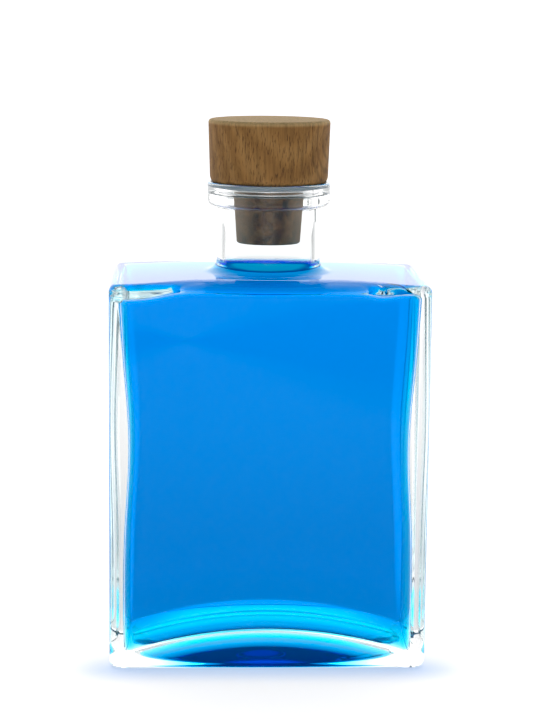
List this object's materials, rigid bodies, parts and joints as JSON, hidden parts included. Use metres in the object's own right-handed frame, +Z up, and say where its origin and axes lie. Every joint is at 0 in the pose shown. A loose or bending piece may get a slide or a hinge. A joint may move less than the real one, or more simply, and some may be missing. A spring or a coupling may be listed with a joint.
{
  "type": "stoppered bottle",
  "caption": "Heavy rectangular clear glass flask with a round neck and rolled lip, filled with blue liquid and closed by a wood-headed cork stopper that lifts out.",
  "frame": {"origin": "centre of the base, on the plane the flask stands on", "axes": "+Z up through the neck and stopper, +X across the broad front, +Y from the front panel to the back panel"},
  "size_m": [0.093, 0.055, 0.1594],
  "materials": {
    "clear_glass": "polished",
    "blue_liquid": "gloss",
    "beech": "satin",
    "cork": "matte"
  },
  "bodies": {
    "bottle": {"glass_bottle": "clear_glass", "liquid_fill": "blue_liquid"},
    "stopper": {"stopper_head": "beech", "stopper_shank": "cork"}
  },
  "joints": [
    {"name": "stopper_lift", "type": "slide", "parent": "bottle", "child": "stopper", "axis": [0, 0, 1], "range_m": [0, 0.03]}
  ]
}
